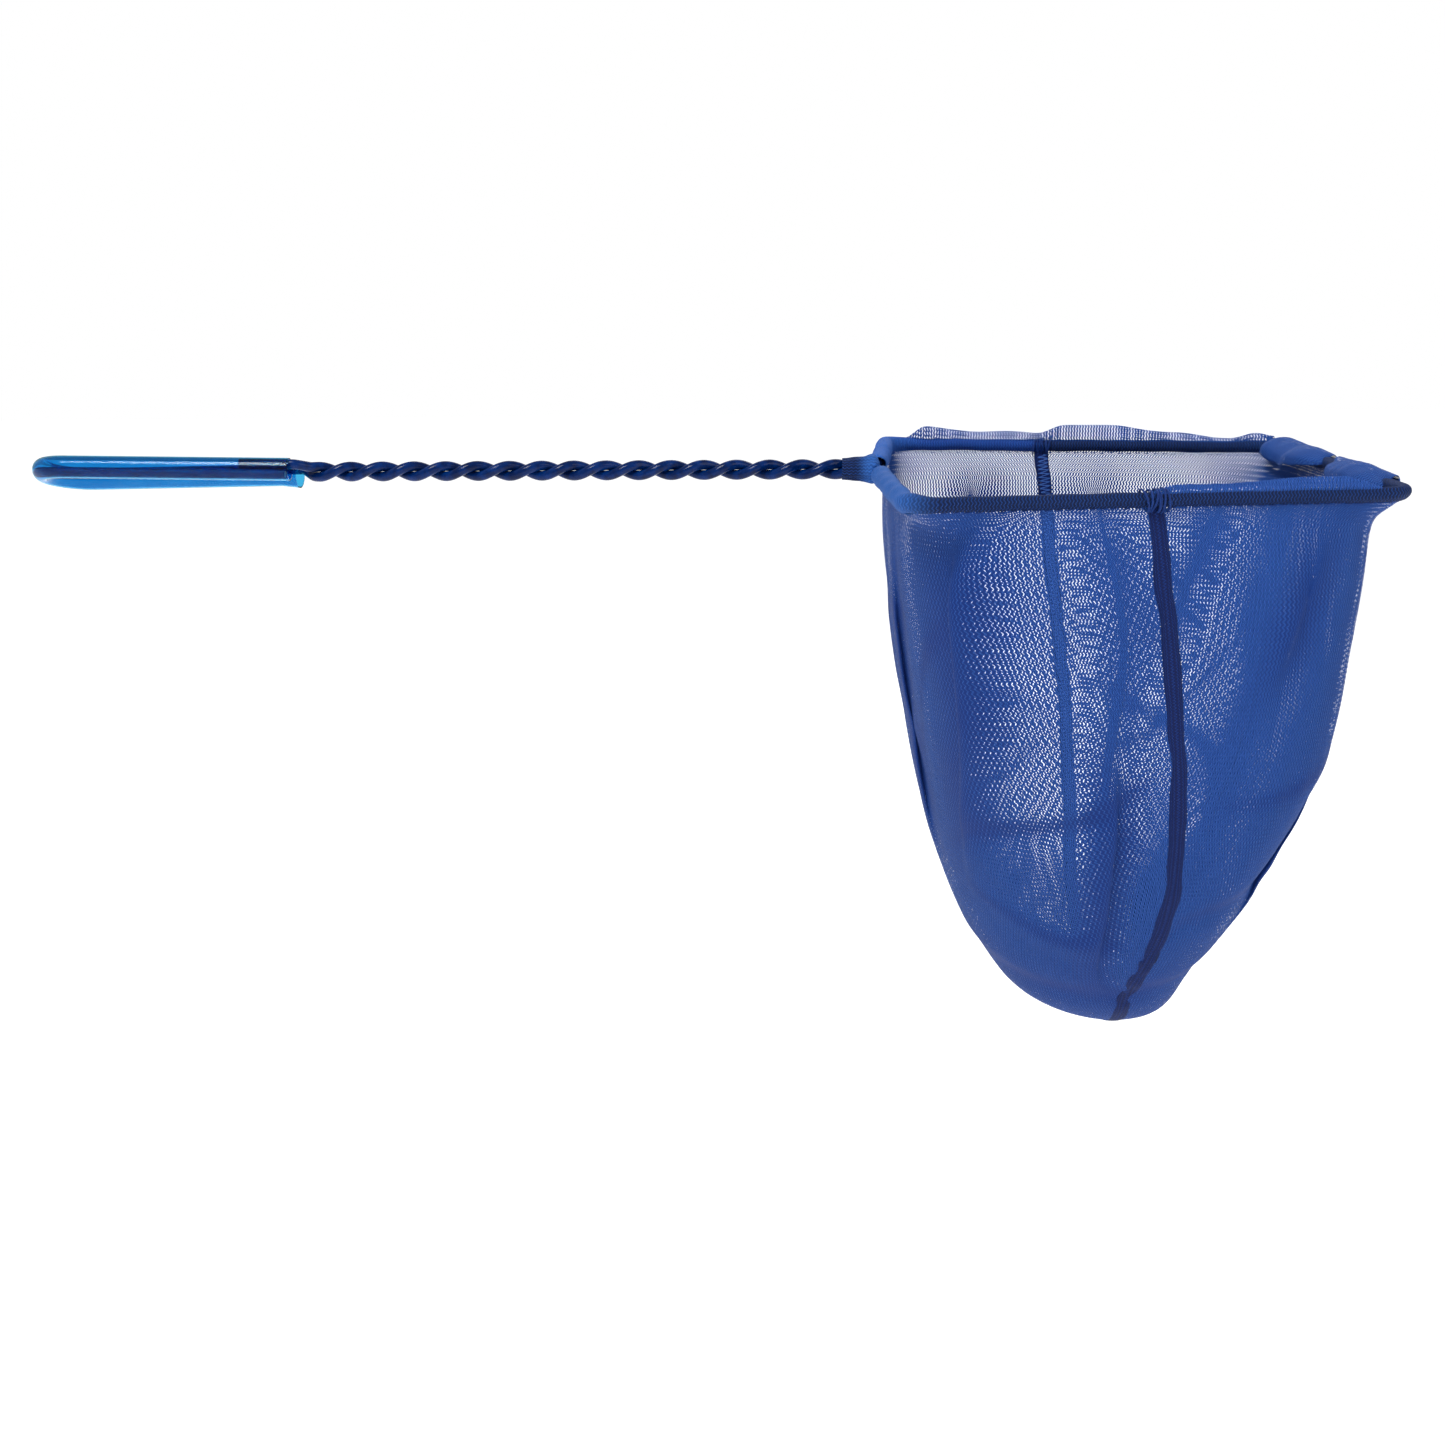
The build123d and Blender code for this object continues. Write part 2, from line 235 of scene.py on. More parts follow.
# ---- material helpers
class Nodes:
    """Short way to wire a material's nodes."""

    def __init__(self, name):
        self.material = bpy.data.materials.new(name)
        self.material.use_nodes = True
        self.tree = self.material.node_tree
        self.shader = self.tree.nodes["Principled BSDF"]

    def add(self, kind, **settings):
        node = self.tree.nodes.new(kind)
        for key, value in settings.items():
            setattr(node, key, value)
        return node

    def link(self, source, target):
        self.tree.links.new(source, target)

    def feed(self, name, source):
        self.link(source, self.shader.inputs[name])

    def metres(self):
        return self.add("ShaderNodeTexCoord").outputs["Object"]

    def math(self, operation, a, b=None, clamp=False):
        node = self.add("ShaderNodeMath", operation=operation, use_clamp=clamp)
        for socket, value in zip(node.inputs, (a, b)):
            if value is None:
                continue
            if isinstance(value, (int, float)):
                socket.default_value = value
            else:
                self.link(value, socket)
        return node.outputs[0]

    def times(self, a, b):
        return self.math("MULTIPLY", a, b)

    def plus(self, a, b):
        return self.math("ADD", a, b)

    def minus(self, a, b):
        return self.math("SUBTRACT", a, b)

    def noise(self, scale, detail, vector=None):
        node = self.add("ShaderNodeTexNoise")
        node.inputs["Scale"].default_value = scale
        node.inputs["Detail"].default_value = detail
        self.link(vector or self.metres(), node.inputs["Vector"])
        return node.outputs["Fac"]

    def ramp(self, value, low, high):
        """Smooth step of a value from low to high."""
        node = self.add("ShaderNodeMapRange", interpolation_type="SMOOTHSTEP")
        node.inputs["From Min"].default_value = low
        node.inputs["From Max"].default_value = high
        self.link(value, node.inputs["Value"])
        return node.outputs["Result"]

    def mix(self, factor, a, b):
        node = self.add("ShaderNodeMix", data_type="RGBA")
        for socket, value in ((node.inputs[0], factor), (node.inputs[6], a), (node.inputs[7], b)):
            if isinstance(value, (int, float)):
                socket.default_value = value
            elif isinstance(value, tuple):
                socket.default_value = (*value, 1.0)
            else:
                self.link(value, socket)
        return node.outputs[2]

    def bump(self, height, strength, distance):
        node = self.add("ShaderNodeBump")
        node.inputs["Strength"].default_value = strength
        node.inputs["Distance"].default_value = distance
        self.link(height, node.inputs["Height"])
        self.feed("Normal", node.outputs["Normal"])

    def set(self, **values):
        for key, value in values.items():
            self.shader.inputs[key.replace("_", " ")].default_value = value


# ---- materials
WALE = 1.45 * MM               # spacing of the knit's zigzag columns
COURSE = 2.3 * MM              # height of one zigzag
LEAN = 0.26                    # sideways swing of a zigzag, in wales
SLACK_BLUE = (0.040, 0.170, 0.600)   # gathered cloth that isn't pulled tight


def knit(name, dark, light, gap, fine=1.0, sheen=0.02, strength=0.4):
    """Warp knit: columns of zigzag yarn, pale along their edges, with open zigzag gaps."""
    n = Nodes(name)
    uv = n.add("ShaderNodeUVMap", uv_map="Cut")
    split = n.add("ShaderNodeSeparateXYZ")
    n.link(uv.outputs["UV"], split.inputs[0])
    patchy = n.noise(45.0, 3.0)
    wander = n.noise(55.0, 1.0)
    fuzz = n.noise(1400.0, 2.0)
    across = n.math("DIVIDE", split.outputs[0], WALE * fine)
    down = n.math("DIVIDE", split.outputs[1], COURSE * fine)
    layers_and_fold_shade = n.add("ShaderNodeAttribute", attribute_name="layers_and_fold_shade").outputs["Fac"]
    across = n.plus(across, n.times(wander, 0.15))
    zigzag = n.times(n.math("PINGPONG", down, 0.5), 4 * LEAN)
    column = n.math("FRACT", n.plus(across, zigzag))
    from_gap = n.math("ABSOLUTE", n.minus(column, 0.5))
    half_gap = n.plus(n.times(patchy, 0.06), gap / 2 - 0.03)
    rung = n.math("ABSOLUTE", n.minus(n.math("FRACT", n.times(down, 2)), 0.5))
    narrowed = n.times(half_gap, n.minus(1.2, n.times(rung, 0.8)))
    covered = n.math("SUBTRACT", 1.0, n.times(layers_and_fold_shade, 0.95), clamp=True)
    edge = n.minus(from_gap, n.times(narrowed, covered))
    n.feed("Alpha", n.ramp(edge, -0.02, 0.02))
    turned = n.plus(n.times(down, 3), n.times(column, 2))
    ply = n.math("PINGPONG", turned, 0.5)
    core = n.ramp(edge, 0.02, 0.17)
    lit = n.math("ADD", n.times(fuzz, 0.35), n.times(ply, 0.5), clamp=True)
    unlit = n.minus(1.0, n.times(lit, 0.45))
    pale = n.minus(1.0, n.times(core, unlit))
    # Painted shade: the yarn colour darkens where the layers value is high, in folds, pleats and creases;
    # the closing of the gaps above is real extra cloth.
    shaded = n.times(pale, n.math("SUBTRACT", 1.0, n.times(layers_and_fold_shade, 0.6), clamp=True))
    slack = n.add("ShaderNodeAttribute", attribute_name="slack").outputs["Fac"]
    airy = n.times(slack, n.plus(n.times(pale, 0.5), 0.35))
    n.feed("Base Color", n.mix(airy, n.mix(shaded, dark, light), SLACK_BLUE))
    crown = n.ramp(from_gap, 0.12, 0.5)
    n.bump(n.plus(crown, n.times(ply, 0.5)), strength, 0.25 * MM)
    n.set(Roughness=0.75, Specular_IOR_Level=0.15, Sheen_Weight=sheen, Sheen_Roughness=0.4)
    n.shader.inputs["Sheen Tint"].default_value = (0.45, 0.6, 1.0, 1.0)
    return n.material


def glossy_coating(name, dark, light):
    """Navy vinyl: high gloss with faint mottling and fine scuffs."""
    n = Nodes(name)
    mottle = n.noise(220.0, 4.0)
    scuffs = n.noise(2500.0, 2.0)
    n.feed("Base Color", n.mix(n.ramp(mottle, 0.3, 0.75), dark, light))
    rough = n.plus(n.times(n.ramp(mottle, 0.45, 0.8), 0.16), 0.16)
    n.feed("Roughness", rough)
    n.bump(n.plus(mottle, n.times(scuffs, 0.12)), 0.25, 0.25 * MM)
    n.set(Coat_Weight=0.05, Coat_Roughness=0.06, Specular_IOR_Level=0.10)
    return n.material


def clear_vinyl():
    """Azure see-through vinyl: tinted, glossy, with soft ripples along the tube."""
    n = Nodes("azure_vinyl")
    stretch = n.add("ShaderNodeMapping")
    stretch.inputs["Scale"].default_value = (0.25, 1.0, 1.0)
    n.link(n.metres(), stretch.inputs["Vector"])
    ripple = n.noise(160.0, 3.0, stretch.outputs[0])
    tint = n.mix(n.ramp(ripple, 0.25, 0.8), (0.035, 0.390, 0.700), (0.070, 0.460, 0.760))
    n.feed("Base Color", tint)
    n.feed("Roughness", n.plus(n.times(ripple, 0.05), 0.02))
    n.bump(ripple, 0.12, 0.5 * MM)
    n.set(Transmission_Weight=1.0, IOR=1.12, Specular_IOR_Level=0.5, Coat_Weight=0.2, Coat_Roughness=0.1)
    return n.material


def drawn_steel():
    """Bare steel core: drawing lines along the wire and a dull grey film."""
    n = Nodes("drawn_steel")
    lines = n.noise(900.0, 3.0)
    n.feed("Base Color", n.mix(lines, (0.35, 0.36, 0.38), (0.6, 0.61, 0.63)))
    n.bump(lines, 0.2, 0.1 * MM)
    n.set(Metallic=1.0, Roughness=0.35)
    return n.material


def thread(name, dark, light):
    """Twisted sewing thread: fine slanting ply with a soft sheen."""
    n = Nodes(name)
    wave = n.add("ShaderNodeTexWave", wave_type="BANDS", bands_direction="DIAGONAL")
    wave.inputs["Scale"].default_value = 2200.0
    wave.inputs["Distortion"].default_value = 2.0
    n.link(n.metres(), wave.inputs["Vector"])
    worn = n.noise(300.0, 2.0)
    mixed = n.times(wave.outputs["Fac"], worn)
    n.feed("Base Color", n.mix(mixed, dark, light))
    n.bump(wave.outputs["Fac"], 0.5, 0.15 * MM)
    n.set(Roughness=0.6, Specular_IOR_Level=0.2, Sheen_Weight=0.03, Sheen_Roughness=0.35)
    return n.material


PANEL_KNIT = knit("panel_knit", (0.000, 0.012, 0.105), (0.040, 0.140, 0.520), 0.38)
# Lit and shaded copies of one casing knit: the darker casing knit is painted shade for the near arm, front
# bar and collar, the lighter far casing knit is painted light for the far arm.
SHADED_CASING_KNIT = knit("casing_knit_painted_shade", (0.000, 0.002, 0.015), (0.013, 0.050, 0.220), 0.06,
                   sheen=0.0, strength=1.0)
LIT_FAR_CASING_KNIT = knit("far_casing_knit_painted_light", (0.000, 0.014, 0.120), (0.030, 0.120, 0.520), 0.08,
                       sheen=0.0, strength=1.0)
FRILL_KNIT = knit("frill_knit", (0.000, 0.016, 0.125), (0.050, 0.160, 0.580), 0.40)
FOLDED_KNIT = knit("folded_knit", (0.000, 0.016, 0.125), (0.045, 0.160, 0.580), 0.26, sheen=0.02)
SEAM_KNIT = knit("seam_knit", (0.001, 0.005, 0.045), (0.006, 0.028, 0.170), 0.05, fine=0.6, strength=1.0)
COATING = glossy_coating("navy_coating", (0.0, 0.006, 0.042), (0.0, 0.018, 0.110))
GRIP_COATING = glossy_coating("grip_coating", (0.0, 0.040, 0.140), (0.0, 0.075, 0.220))
VINYL = clear_vinyl()
STEEL = drawn_steel()
SEAM_THREAD = thread("seam_thread", (0.001, 0.012, 0.090), (0.015, 0.080, 0.380))
PALE_THREAD = thread("pale_thread", (0.020, 0.090, 0.380), (0.120, 0.270, 0.780))


# ---- the bag's shape
# Depth under the hoop, rear and front wall from the neck, half width at the seam, squareness.
STATIONS = np.array([
    (0, 8, 204, 108, 6.0),
    (30, 6, 206, 109, 5.0),
    (60, 9, 205, 109, 4.2),
    (120, 19, 201, 104, 3.4),
    (180, 32, 177, 90, 2.9),
    (230, 55, 157, 66, 2.5),
    (258, 82, 147, 42, 2.3),
    (272, 115, 134, 13, 2.1),
]) * (MM, MM, MM, MM, 1)
BAG_DEPTH = STATIONS[-1, 0]
TIP_ROUNDNESS = 0.6            # length of the cut's end beyond its last row, in half widths
TABLE_ROWS, TABLE_HALF = 121, 80
LEAD_IN = 11 * MM              # depth over which the hoop's outline fades into the bag's
SEAM_COURSE = [(0, 100), (60, 109), (135, 119), (190, 121), (230, 117), (276, 119)]
SEAM_SKEW = [(0, -7), (60, -8), (135, -8), (190, -7), (230, -3), (276, 0)]


def station(depth, column):
    return smooth_curve(depth, STATIONS[:, 0], STATIONS[:, column])


def course(depth, pairs):
    pairs = np.array(pairs) * MM
    return smooth_curve(depth, pairs[:, 0], pairs[:, 1])


def wall_table(front):
    """Points of one panel: rows by depth, columns from the near seam to the far seam."""
    rows, cols = TABLE_ROWS, 2 * TABLE_HALF + 1
    depth = BAG_DEPTH * np.sin(np.linspace(0, math.pi / 2, rows))
    phi = np.linspace(-math.pi / 2, math.pi / 2, 400)
    share = np.linspace(0, 1, cols)
    if front:
        top = at_length(HOOP, np.linspace(SEAM_NEAR, SEAM_FAR, cols))
    else:
        distance = np.linspace(SEAM_NEAR, SEAM_FAR - HOOP_LENGTH, cols)
        top = at_length(HOOP, np.mod(distance, HOOP_LENGTH))
    table = np.zeros((rows, cols, 3))
    for r, d in enumerate(depth):
        power = 2 / station(d, 4)
        middle = NECK_X + course(d, SEAM_COURSE)
        wall = NECK_X + station(d, 2 if front else 1)
        half = station(d, 3)
        reach = np.abs(np.cos(phi)) ** power
        y = np.sign(np.sin(phi)) * np.abs(np.sin(phi)) ** power * half
        x = middle + (wall - middle) * reach
        widen = (REAR_HALF - FRONT_HALF) / (FRONT_X - REAR_X) * max(0.0, 1 - d / BAG_DEPTH)
        y = y * (1 - widen * (x - middle) / half)
        x = x + course(d, SEAM_SKEW) * np.sin(phi)
        line = np.stack([x, y, np.full_like(x, -d)], -1)
        line = at_length(line, share * lengths_along(line)[-1])
        blend = rises(d, 0, LEAD_IN)
        hung = top.copy()
        hung[:, 2] = -d + top[:, 2] * (1 - blend)
        table[r] = hung * (1 - blend) + line * blend
    return depth, table


def coons_grid(outline, top_half, cols, rows):
    """Grid over the flat U: its top row is the hem, its other sides are the seam."""
    steps = np.linalg.norm(np.diff(outline, axis=0), axis=1)
    along = np.concatenate([[0], np.cumsum(steps)]) / steps.sum()
    corner = 0.31              # share of the seam that each side of the grid takes
    u, v = np.linspace(0, 1, cols + 1), np.linspace(0, 1, rows + 1)
    top = np.stack([(2 * u - 1) * top_half, 0 * u], -1)
    left, right = (interpolate(a, along, outline) for a in (v * corner, 1 - v * corner))
    bottom = interpolate(corner + u * (1 - 2 * corner), along, outline)
    uu, vv = u[None, :, None], v[:, None, None]
    grid = (1 - vv) * top + vv * bottom + (1 - uu) * left[:, None] + uu * right[:, None]
    grid -= (1 - uu) * (1 - vv) * top[0] + uu * (1 - vv) * top[-1]
    grid -= (1 - uu) * vv * bottom[0] + uu * vv * bottom[-1]
    return grid


def look_up(table, rows, cols):
    """Bilinear reading of a table at fractional rows and columns."""
    r = np.clip(np.floor(rows).astype(int), 0, table.shape[0] - 2)
    c = np.clip(np.floor(cols).astype(int), 0, table.shape[1] - 2)
    fr, fc = rows - r, cols - c
    if table.ndim == 3:
        fr, fc = fr[..., None], fc[..., None]
    upper = table[r, c] * (1 - fc) + table[r, c + 1] * fc
    lower = table[r + 1, c] * (1 - fc) + table[r + 1, c + 1] * fc
    return upper * (1 - fr) + lower * fr


def panel_grids(cols, rows):
    """Hung shape (2, rows, cols, 3) and flat cut (2, rows, cols, 2) of rear and front."""
    tables = [wall_table(front) for front in (False, True)]
    depth = tables[0][0]
    halves = [np.linalg.norm(np.diff(t, axis=1), axis=2).sum(1) / 2 for _, t in tables]
    mean_half = (halves[0] + halves[1]) / 2
    falls = [np.linalg.norm(np.diff(t[:, TABLE_HALF], axis=0), axis=1) for _, t in tables]
    fall = np.concatenate([[0], np.cumsum((falls[0] + falls[1]) / 2)])
    left = np.stack([-mean_half, fall], -1)
    tip = [[0, fall[-1] + mean_half[-1] * TIP_ROUNDNESS]]
    outline = np.concatenate([left, tip, left[-2::-1] * (-1, 1)])
    cut = coons_grid(outline, mean_half[0], cols, rows)
    t = np.minimum(cut[..., 1], fall[-1])
    row = np.interp(t, fall, np.arange(len(depth)))
    half_here = np.interp(t, fall, mean_half)
    share = np.clip(cut[..., 0] / half_here, -1, 1)
    share[:, 0], share[:, -1] = -1, 1
    hung, flat = [], []
    for (_, table), half in zip(tables, halves):
        hung.append(look_up(table, row, (share + 1) * TABLE_HALF))
        flat.append(np.stack([share * np.interp(t, fall, half), cut[..., 1]], -1))
    hung, flat = np.stack(hung), np.stack(flat)
    seam = (hung[0] + hung[1]) / 2
    for side in (0, 1):
        hung[side, :, 0], hung[side, :, -1], hung[side, -1] = seam[:, 0], seam[:, -1], seam[-1]
    hung[..., 2] -= CASING_R * 0.93
    return hung, flat


# ---- cloth that settles
GRID_COLS, GRID_ROWS = 144, 80
START_SCATTER = 0.8 * MM
COARSE_FIRST = (4, 2, 1)       # grid steps, from coarse to fine
SETTLE_STEPS = (160, 110, 50)
SETTLE_ROUNDS = 9
TIME_STEP = 0.004
GRAVITY = 2.0
DAMPING = 0.96
SHEAR, BEND = 0.35, 0.25
PULL = 0.012                   # share of the way back to the hung shape in a step
SPARE = 0.020                  # spare cloth round the bag
KINDS = [(0, 1, 1.0, 1.0), (1, 0, 1.0, 0.12), (1, 1, SHEAR, 0.5), (1, -1, SHEAR, 0.5)]
FOLD_KINDS = [(0, 2), (2, 0), (0, 4), (4, 0)]


def links(rows, cols, down, across):
    """Slices of linked points, in groups where no point is used twice."""
    reach, count = (down, rows) if across == 0 else (abs(across), cols)
    groups = []
    for phase in range(2 * reach):
        firsts = range(phase, count - reach, 2 * reach)
        if not firsts:
            continue
        a = slice(phase, firsts[-1] + 1, 2 * reach)
        b = slice(phase + reach, firsts[-1] + reach + 1, 2 * reach)
        if across < 0:
            a, b = b, a
        if across == 0:
            groups.append(((slice(None), a), (slice(None), b)))
        else:
            groups.append(((slice(None), slice(0, rows - down), a), (slice(None), slice(down, rows), b)))
    return groups


def link_table(target, spare):
    """Every link with its rest length and the share each end takes."""
    rows, cols = target.shape[1:3]
    table = []
    kinds = [(*kind, False) for kind in KINDS] + [(*kind, BEND, 0.0, True) for kind in FOLD_KINDS]
    for down, across, stiffness, looseness, only_folds in kinds:
        for a, b in links(rows, cols, down, across):
            rest = np.linalg.norm(target[a] - target[b], axis=-1, keepdims=True)
            rest = rest * (1 + looseness * (spare[a] + spare[b]) / 2)
            share_a = np.full(rest.shape, stiffness / 2)
            share_b = share_a.copy()
            pinned = np.arange(rows)[a[1]] == 0
            share_a[:, pinned], share_b[:, pinned] = 0, stiffness
            share_b[:, np.arange(rows)[b[1]] == 0] = 0
            table.append((a, b, rest, share_a, share_b, only_folds))
    return table


def weld(points):
    """Sew the two panels along their sides and bottom."""
    for edge in (np.s_[:, 0], np.s_[:, -1], np.s_[-1]):
        middle = (points[0][edge] + points[1][edge]) / 2
        points[0][edge] = points[1][edge] = middle


def settle(points, target, spare, steps):
    """Hang two sewn panels under gravity, near a target shape."""
    table = link_table(target, spare)
    speed = np.zeros_like(points)
    for _ in range(steps):
        speed[..., 2] -= GRAVITY * TIME_STEP
        speed *= DAMPING
        before = points.copy()
        points = points + speed * TIME_STEP
        points += (target - points) * PULL
        for _ in range(SETTLE_ROUNDS):
            for a, b, rest, share_a, share_b, only_folds in table:
                gap = points[b] - points[a]
                length = np.sqrt(np.einsum("...k,...k->...", gap, gap))[..., None] + 1e-9
                change = 1 - rest / length
                if only_folds:
                    change = np.minimum(change, 0)
                gap *= change
                points[a] += gap * share_a
                points[b] -= gap * share_b
            weld(points)
            points[:, 0] = target[:, 0]
        speed = (points - before) / TIME_STEP
    return points


def refine(grid):
    """Twice as many points each way."""
    rows, cols = grid.shape[:2]
    fine = np.zeros((2 * rows - 1, 2 * cols - 1, grid.shape[2]))
    fine[::2, ::2] = grid
    fine[1::2, ::2] = (grid[:-1] + grid[1:]) / 2
    fine[:, 1::2] = (fine[:, :-2:2] + fine[:, 2::2]) / 2
    return fine


def bump_at(value, centre, width):
    return np.exp(-((value - centre) / width) ** 2)


def rises(value, low, high):
    t = np.clip((value - low) / (high - low), 0, 1)
    return t * t * (3 - 2 * t)


def surface_normals(grid):
    down, across = np.gradient(grid, axis=(0, 1))
    return unit(np.cross(across, down) + 1e-12)


# Pleats laid over: panel (0 rear, 1 front), place across it at the pleat's top and bottom,
# width in mm, top and bottom depth, cloth taken up in mm and which way the fold lies.
PLEATS = [
    (1, 0.84, 0.70, 11, 0.02, 0.25, 10.0, 1),
    (1, 0.50, 0.62, 8, 0.02, 0.12, 6.5, -1),
    (1, 0.30, 0.08, 12, 0.07, 0.24, 9.0, 1),
    (1, -0.20, -0.52, 10, 0.07, 0.22, 8.5, -1),
    (1, -0.62, -0.74, 8, 0.01, 0.09, 6.5, 1),
    (0, 0.80, 0.60, 9, 0.01, 0.16, 7.5, -1),
    (0, 0.20, 0.46, 12, 0.06, 0.24, 9.0, 1),
    (0, -0.22, -0.05, 11, 0.03, 0.20, 9.0, -1),
    (0, -0.62, -0.34, 13, 0.01, 0.19, 11.0, 1),
    (0, -0.86, -0.66, 9, 0.11, 0.25, 7.0, -1),
]
# Sharp creases from packing: panel, ends as (place across, depth in m), height in mm.
CREASES = [
    (1, (-0.97, 0.205), (-0.20, 0.150), 3.0),
    (1, (-0.90, 0.130), (-0.15, 0.118), -1.6),
    (1, (-0.60, 0.165), (-0.12, 0.215), 1.6),
    (0, (-0.95, 0.120), (-0.25, 0.170), 3.0),
    (0, (-0.85, 0.215), (-0.30, 0.190), -1.6),
    (0, (-0.55, 0.040), (-0.15, 0.130), 1.6),
    (0, (0.10, 0.090), (0.95, 0.150), 2.0),
    (0, (0.30, 0.200), (0.92, 0.165), -1.6),
    (1, (0.10, 0.175), (0.95, 0.120), 2.2),
    (1, (0.35, 0.090), (0.90, 0.210), -1.6),
    (1, (-0.35, 0.060), (0.40, 0.085), 1.2),
    (0, (-0.30, 0.060), (0.45, 0.072), -1.2),
    (1, (-0.98, 0.240), (-0.05, 0.222), 2.0),
    (0, (-0.95, 0.243), (0.40, 0.232), 1.6),
]
CREASE_WIDTH = 4.5 * MM
CREASE_SWAY = 0.004            # how far a crease strays from straight, in metres
CREASE_RISE = 1.6
LAP_PEAK = 2.33                # makes the cloth a pleat takes up equal to its lap
PLEAT_RISE = 2.2 * MM
PLEAT_REACH = 105 * MM         # half a panel's width, which a pleat's place is a share of
IRONING = 6


def creases_near(panel, share, depth):
    """For each crease of a panel: its height, its fade along its length and the distance off it."""
    for where, (start, first), (end, last), height in CREASES:
        if where == panel:
            t = np.clip((share - start) / (end - start), 0, 1)
            line = first + (last - first) * t + CREASE_SWAY * np.sin(t * 7 + first * 50)
            yield height, np.sin(math.pi * t) ** 0.7, (depth - line) / CREASE_WIDTH


def crease_heights(panel, share, depth):
    """How far the packing creases stand off the smooth wall, in metres."""
    lift = np.zeros_like(share)
    for height, ends, off in creases_near(panel, share, depth):
        lift += height * MM * ends * CREASE_RISE * (off + 0.35) * np.exp(-off ** 2)
    return lift


def pleats_near(panel, share, depth, half):
    """For each pleat of a panel: its lap, its way, its fade down the wall and the distance off it."""
    for where, start, end, width, top, bottom, lap, way in PLEATS:
        if where == panel:
            slant = np.clip((depth - top) / (bottom - top), 0, 1)
            centre = start + (end - start) * slant + 0.02 * np.sin(depth * 38 + start * 9)
            begins = rises(depth, top - 0.02, top + 0.04)
            fade = begins * (1 - rises(depth, bottom - 0.06, bottom + 0.02))
            yield lap, way, fade, (share - centre) * half / (width * MM)


def lay_pleats(panel, grid, share, depth, outward):
    """Lap the cloth over itself along each pleat."""
    half = np.abs(np.linalg.norm(np.diff(grid, axis=1), axis=2).sum(1) / 2)[:, None]
    sideways = unit(np.gradient(grid, axis=1) + 1e-12)
    for lap, way, fade, off in pleats_near(panel, share, depth, half):
        slide = -LAP_PEAK * lap * MM * off * np.exp(-off ** 2) * fade
        rise = PLEAT_RISE * way * np.tanh(1.5 * off) * np.exp(-(off / 2.5) ** 2) * fade
        grid = grid + sideways * slide[..., None] + outward * rise[..., None]
    return grid


def cloth_layers_and_fold_shade(panel, share, depth):
    """How much cloth lies over itself, 0 for one layer up to about 1 in a fold; the knit also darkens its
    colour by it, as painted shade in pleats, creases and towards the bottom.
    """
    uneven = soft_wave(share * 6, depth / (26 * MM), 17 + panel)
    # More cloth towards the bottom, which the knit also paints darker as shade, with some uneven
    # variation.
    layers_and_shade = 0.55 * rises(depth, 0.185, 0.255) + 0.10 * uneven
    for _, _, fade, off in pleats_near(panel, share, depth, PLEAT_REACH):
        layers_and_shade = layers_and_shade + 0.9 * np.exp(-off ** 4) * fade
    for _, ends, off in creases_near(panel, share, depth):
        layers_and_shade = layers_and_shade + 0.8 * ends * np.exp(-off ** 2)
    return np.clip(layers_and_shade, 0, 1)


def iron(grid, rounds):
    """Take out wrinkles finer than the yarn can hold, keeping the edges in place."""
    for _ in range(rounds):
        around = (grid[:-2, 1:-1] + grid[2:, 1:-1] + grid[1:-1, :-2] + grid[1:-1, 2:]) / 4
        grid[1:-1, 1:-1] += 0.5 * (around - grid[1:-1, 1:-1])
    return grid


def make_bag_grids():
    """The two sewn panels as they hang, with their flat cut."""
    target, flat = panel_grids(GRID_COLS, GRID_ROWS)
    share = flat[..., 0] / np.abs(flat[..., :1, 0])
    depth = np.repeat(flat[..., 1][:1], 2, axis=0)
    edge = rises(1 - np.abs(share), 0.0, 0.06) * rises(depth, 0.004, 0.03)
    for panel in (0, 1):
        outward = surface_normals(target[panel]) * (1 if panel else -1)
        lift = crease_heights(panel, share[panel], depth[panel]) * edge[panel]
        folded = lay_pleats(panel, target[panel], share[panel], depth[panel], outward)
        target[panel] += (folded - target[panel]) * edge[panel][..., None] + outward * lift[..., None]
    weld(target)
    waves = [soft_wave(share[k] * 5, depth[k] / (45 * MM), 7 + k) for k in (0, 1)]
    spare = (SPARE * (1 + 0.7 * np.stack(waves)) * (1.2 - 0.6 * depth / BAG_DEPTH))[..., None]
    points = None
    for step, steps in zip(COARSE_FIRST, SETTLE_STEPS):
        goal = target[:, ::step, ::step]
        slack = spare[:, ::step, ::step]
        if points is None:
            points = goal + rng.normal(0, START_SCATTER, goal.shape)
            points[:, 0] = goal[:, 0]
            weld(points)
        else:
            points = np.stack([refine(p) for p in points])
            points[:, 0] = goal[:, 0]
        points = settle(points, goal, slack, steps)
    for panel in (0, 1):
        iron(points[panel], IRONING)
    return points, flat


# ---- pieces of the bag
SEAM_STRIP = 7.2 * MM
SEAM_THICK = 1.3 * MM
SEAM_SIDES = 28
OVERLOCK_PITCH = 2.1 * MM
OVERLOCK_R = 0.24 * MM
STITCH_PITCH = 4.6 * MM
STITCH_LENGTH = 2.9 * MM
STITCH_R = 0.28 * MM
STITCH_OUT = 0.45 * MM         # stitches' stand-off from the cloth
KNIT_THICKNESS = 0.35 * MM


def soft_wave(a, b, seed, count=7, slowest=0.6, fastest=3.0):
    """Smooth random height over two coordinates, about -1 to 1."""
    local = np.random.default_rng(seed)
    total = np.zeros(np.broadcast(a, b).shape)
    for _ in range(count):
        fa, fb = local.uniform(slowest, fastest, 2) * local.choice((-1, 1), 2)
        total = total + np.sin(a * fa + b * fb + local.uniform(0, 2 * math.pi))
    return total / math.sqrt(count)


